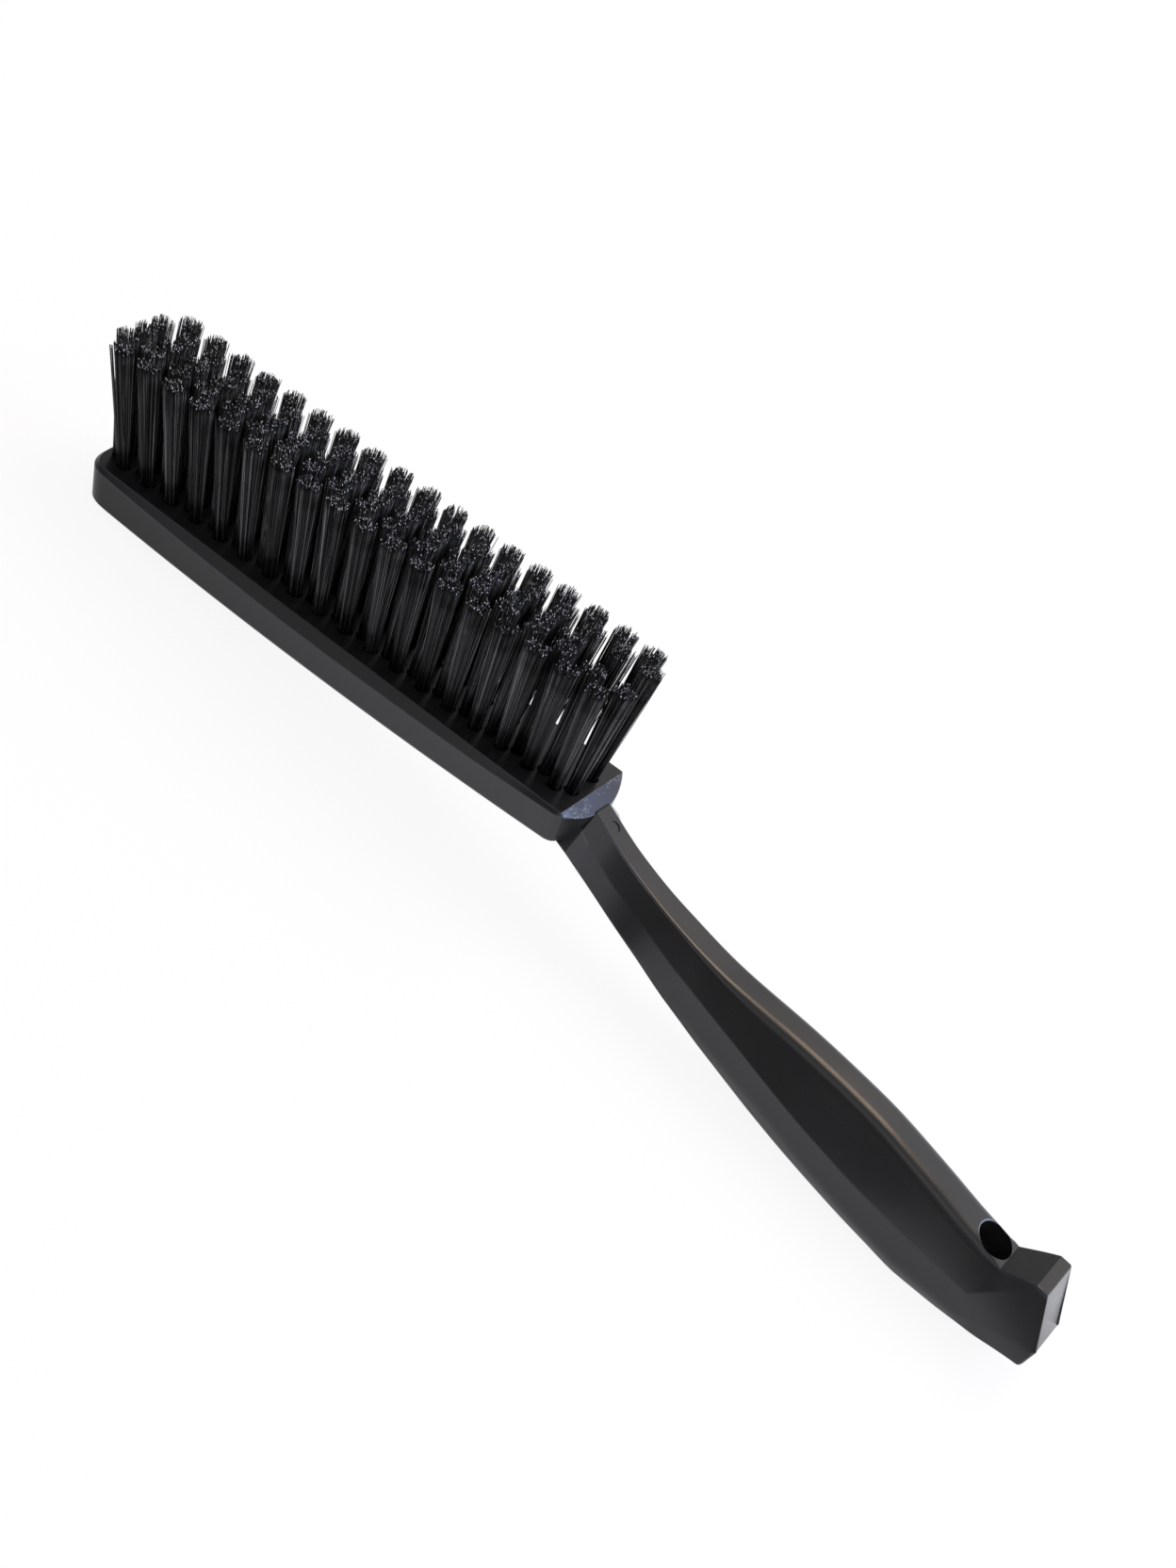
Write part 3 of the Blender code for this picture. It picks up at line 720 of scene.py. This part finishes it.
tuft = {
    "strands": 150, "radius": 0.1 * mm, "rootRadius": 1.45 * mm, "tipRadius": 2.8 * mm,
    "ragged": 0.9 * mm, "depth": 2.2 * mm, "points": 5, "sway": 0.09 * mm, "strays": 0.035,
    "strayReach": 0.7 * mm, "strayFrom": 0.3, "spreadRange": (0.9, 1.08), "turn": 0.12,
    "shortPower": 2.2, "fanPower": 1.12, "tipShare": 0.8, "boxMargin": 1.5, "shadePower": 5,
    "capPower": 6, "seed": 11,
}


def strandPaths(base, tip, rng):
    # Each strand runs from its place in the root's disc to a wider place at the tip.
    slope = (tip - base) / tuftField["height"]
    paths = []
    for _ in range(tuft["strands"]):
        angle = rng.uniform(0, 2 * math.pi)
        share = math.sqrt(rng.uniform(0, 1))
        spread = tuft["tipRadius"] * share * rng.uniform(*tuft["spreadRange"])
        if rng.uniform() < tuft["strays"]:
            spread += tuft["strayReach"] * rng.uniform(tuft["strayFrom"], 1)
        turn = angle + rng.normal(0, tuft["turn"])
        foot = Vector((math.cos(angle), math.sin(angle), 0)) * tuft["rootRadius"] * share
        head = Vector((math.cos(turn), math.sin(turn), 0)) * spread
        short = tuft["ragged"] * rng.uniform(0, 1) ** tuft["shortPower"]
        sway = Vector((rng.normal(), rng.normal(), 0)) * tuft["sway"]
        low, high = -tuft["depth"], tuftField["height"] - short
        path = []
        for i in range(tuft["points"]):
            t = i / (tuft["points"] - 1)
            rise = low + (high - low) * t
            opened = max(0.0, rise / tuftField["height"])
            centre = base + slope * rise
            across = foot.lerp(head, opened ** tuft["fanPower"])
            path.append(centre + across + sway * math.sin(math.pi * t))
        paths.append(path)
    return paths


def makeTuftColumn(column, rng):
    name = f"tufts_{column + 1:02d}"
    curve = bpy.data.curves.new(name, 'CURVE')
    curve.dimensions = '3D'
    curve.bevel_depth = tuft["radius"]
    curve.bevel_resolution = 0
    shades, caps = [], []
    margin = tuft["radius"] * tuft["boxMargin"]  # strands stay inside the solids' box
    low = [value + margin for value in cadBox[0]]
    high = [value - margin for value in cadBox[1]]
    for row, side, index in columnTufts(column):
        base, tip = tuftEnds(row, side, index)
        for path in strandPaths(base, tip, rng):
            spline = curve.splines.new('POLY')
            spline.points.add(len(path) - 1)
            for point, place in zip(spline.points, path):
                placed = toRow @ place
                kept = [min(max(placed[k], low[k]), high[k]) for k in range(3)]
                point.co = (*kept, 1)
            spline.points[-1].radius = tuft["tipShare"]
            shades.append(rng.uniform(0, 1) ** tuft["shadePower"])
            caps.append(rng.uniform(0, 1) ** tuft["capPower"])
    source = bpy.data.objects.new(name + "Curve", curve)
    scene.collection.objects.link(source)
    graph = bpy.context.evaluated_depsgraph_get()
    mesh = bpy.data.meshes.new_from_object(source.evaluated_get(graph))
    bpy.data.objects.remove(source)
    perStrand = len(mesh.vertices) // len(shades)
    perRing = perStrand // tuft["points"]
    for title, values in (("strandShade", shades), ("paleCap", caps)):
        layer = mesh.attributes.new(title, 'FLOAT', 'POINT')
        layer.data.foreach_set("value", np.repeat(np.array(values, dtype=np.float32),
                                                  perStrand))
    along = mesh.attributes.new("alongStrand", 'FLOAT', 'POINT')
    steps = np.repeat(np.linspace(0, 1, tuft["points"]), perRing).astype(np.float32)
    along.data.foreach_set("value", np.tile(steps, len(shades)))
    bm = bmesh.new()
    bm.from_mesh(mesh)
    bmesh.ops.holes_fill(bm, edges=bm.edges, sides=perRing)
    bmesh.ops.recalc_face_normals(bm, faces=bm.faces)
    bm.to_mesh(mesh)
    bm.free()
    mesh.name = name
    mesh.materials.clear()
    mesh.materials.append(bristle)
    mesh.shade_smooth()
    obj = bpy.data.objects.new(name, mesh)
    scene.collection.objects.link(obj)
    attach(obj, "root")
    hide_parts(f"tuft_column_{column + 1:02d}")
    return len(mesh.polygons)


def makeTufts():
    rng = np.random.default_rng(tuft["seed"])
    faces = [makeTuftColumn(column, rng) for column in range(tuftField["innerCount"])]
    print("tufts made:", sum(faces), "faces")


makeTufts()


# Studio: a pale floor, a pale horizon and soft lights

studio = {
    "floorRadius": 4.0, "floorSides": 96, "floorColour": (0.9, 0.9, 0.9),
    "floorRoughness": 0.9, "whiteShare": 0.9,
    # Floor colours seen only in reflections: painted shade and a painted glow.
    "underBrush": (0.65, 0.65, 0.65), "mirrored": (1.45, 1.47, 1.55), "clearSlant": 0.1,
    "clearFrom": 0.0, "clearTo": 0.05, "shaded": (0.13, 0.13, 0.135), "shadeSlant": -0.45,
    "shadeFrom": -0.077, "shadeTo": -0.09,
    "horizon": (1.15, 1.15, 1.20), "left": (0.45, 0.45, 0.46), "leftFrom": 0.05,
    "leftTo": -0.55, "zenith": (0.52, 0.52, 0.52), "front": (0.15, 0.15, 0.155),
    "riseFrom": 0.72, "riseTo": 0.9, "frontSlant": 2.0, "frontFrom": -0.3, "frontTo": -0.6,
    "frontHeight": 0.42, "frontTop": 0.68,
    "lamps": (
        ("topWarm", (0.02, 0.53, 1.2), (0.07, 0.0, 0.0), (0.5, 0.7), 7.0,
         (1.0, 0.76, 0.56)),
        ("rightCool", (0.93, 0.40, 0.80), (0.05, 0.0, 0.0), (0.8, 0.5), 8.0,
         (0.55, 0.70, 1.0)),
    ),
}


def makeFloor():
    bm = bmesh.new()
    bmesh.ops.create_circle(bm, cap_ends=True, segments=studio["floorSides"],
                            radius=studio["floorRadius"])
    mesh = bpy.data.meshes.new("studioFloor")
    bm.to_mesh(mesh)
    bm.free()
    floor = bpy.data.objects.new("studioFloor", mesh)
    scene.collection.objects.link(floor)
    material = bpy.data.materials.new("paleFloor")
    material.use_nodes = True
    tree = material.node_tree
    shader = tree.nodes["Principled BSDF"]
    shader.inputs["Base Color"].default_value = (*studio["floorColour"], 1)
    shader.inputs["Roughness"].default_value = studio["floorRoughness"]
    shader.inputs["Specular IOR Level"].default_value = 0.0
    white = addNode(tree, 'ShaderNodeEmission', Strength=1.0)
    rays = addNode(tree, 'ShaderNodeLightPath')
    coords = addNode(tree, 'ShaderNodeTexCoord')
    parts = addNode(tree, 'ShaderNodeSeparateXYZ')
    tree.links.new(coords.outputs["Object"], parts.inputs[0])
    # Seen in reflections only, the floor glows with painted light and shade: a painted shade
    # under the brush, a painted glow brighter than white beside it and a painted shade in
    # front, which sets the body's facets apart.
    reach = mathNode(tree, 'ADD', mathNode(tree, 'ABSOLUTE', parts.outputs["Y"], None),
                     mathNode(tree, 'MULTIPLY', parts.outputs["X"], studio["clearSlant"]))
    clear = remap(tree, reach, studio["clearFrom"], studio["clearTo"])
    beside = blendColour(tree, clear, studio["underBrush"], studio["mirrored"])
    slanted = mathNode(tree, 'ADD', parts.outputs["Y"],
                       mathNode(tree, 'MULTIPLY', parts.outputs["X"], studio["shadeSlant"]))
    front = remap(tree, slanted, studio["shadeFrom"], studio["shadeTo"])
    mirrored = blendColour(tree, front, beside, studio["shaded"])
    glossy = rays.outputs["Is Glossy Ray"]
    tree.links.new(blendColour(tree, glossy, (1, 1, 1), mirrored), white.inputs["Color"])
    seen = mathNode(tree, 'MAXIMUM', rays.outputs["Is Camera Ray"],
                    rays.outputs["Is Transmission Ray"])
    seen = mathNode(tree, 'MAXIMUM', seen, glossy)
    share = mathNode(tree, 'MULTIPLY', seen, studio["whiteShare"])
    mix = addNode(tree, 'ShaderNodeMixShader')
    tree.links.new(share, mix.inputs[0])
    tree.links.new(shader.outputs[0], mix.inputs[1])
    tree.links.new(white.outputs[0], mix.inputs[2])
    tree.links.new(mix.outputs[0], tree.nodes["Material Output"].inputs["Surface"])
    mesh.materials.append(material)


def makeWorld():
    world = bpy.data.worlds.new("paleStudio")
    world.use_nodes = True
    tree = world.node_tree
    sky = tree.nodes["Background"]
    coords = addNode(tree, 'ShaderNodeTexCoord')
    parts = addNode(tree, 'ShaderNodeSeparateXYZ')
    tree.links.new(coords.outputs["Generated"], parts.inputs[0])
    rise = remap(tree, parts.outputs["Z"], studio["riseFrom"], studio["riseTo"])
    left = remap(tree, parts.outputs["X"], studio["leftFrom"], studio["leftTo"])
    colour = blendColour(tree, left, studio["horizon"], studio["left"])
    colour = blendColour(tree, rise, colour, studio["zenith"])
    slanted = mathNode(tree, 'ADD', parts.outputs["Y"],
                       mathNode(tree, 'MULTIPLY', parts.outputs["X"], studio["frontSlant"]))
    front = remap(tree, slanted, studio["frontFrom"], studio["frontTo"])
    low = remap(tree, parts.outputs["Z"], studio["frontTop"], studio["frontHeight"])
    front = mathNode(tree, 'MULTIPLY', front, low)
    colour = blendColour(tree, front, colour, studio["front"])
    rays = addNode(tree, 'ShaderNodeLightPath')
    colour = blendColour(tree, rays.outputs["Is Camera Ray"], colour, (1, 1, 1))
    tree.links.new(colour, sky.inputs["Color"])
    scene.world = world


def makeLamps():
    for name, place, aim, size, power, colour in studio["lamps"]:
        data = bpy.data.lights.new(name, 'AREA')
        data.shape = 'RECTANGLE'
        data.size, data.size_y = size
        data.energy = power
        data.color = colour
        lamp = bpy.data.objects.new(name, data)
        lamp.location = place
        lamp.rotation_euler = (Vector(aim) - Vector(place)).to_track_quat('-Z', 'Y').to_euler()
        scene.collection.objects.link(lamp)


makeFloor()
makeWorld()
makeLamps()
scene.view_settings.view_transform = 'Standard'
print("studio set")
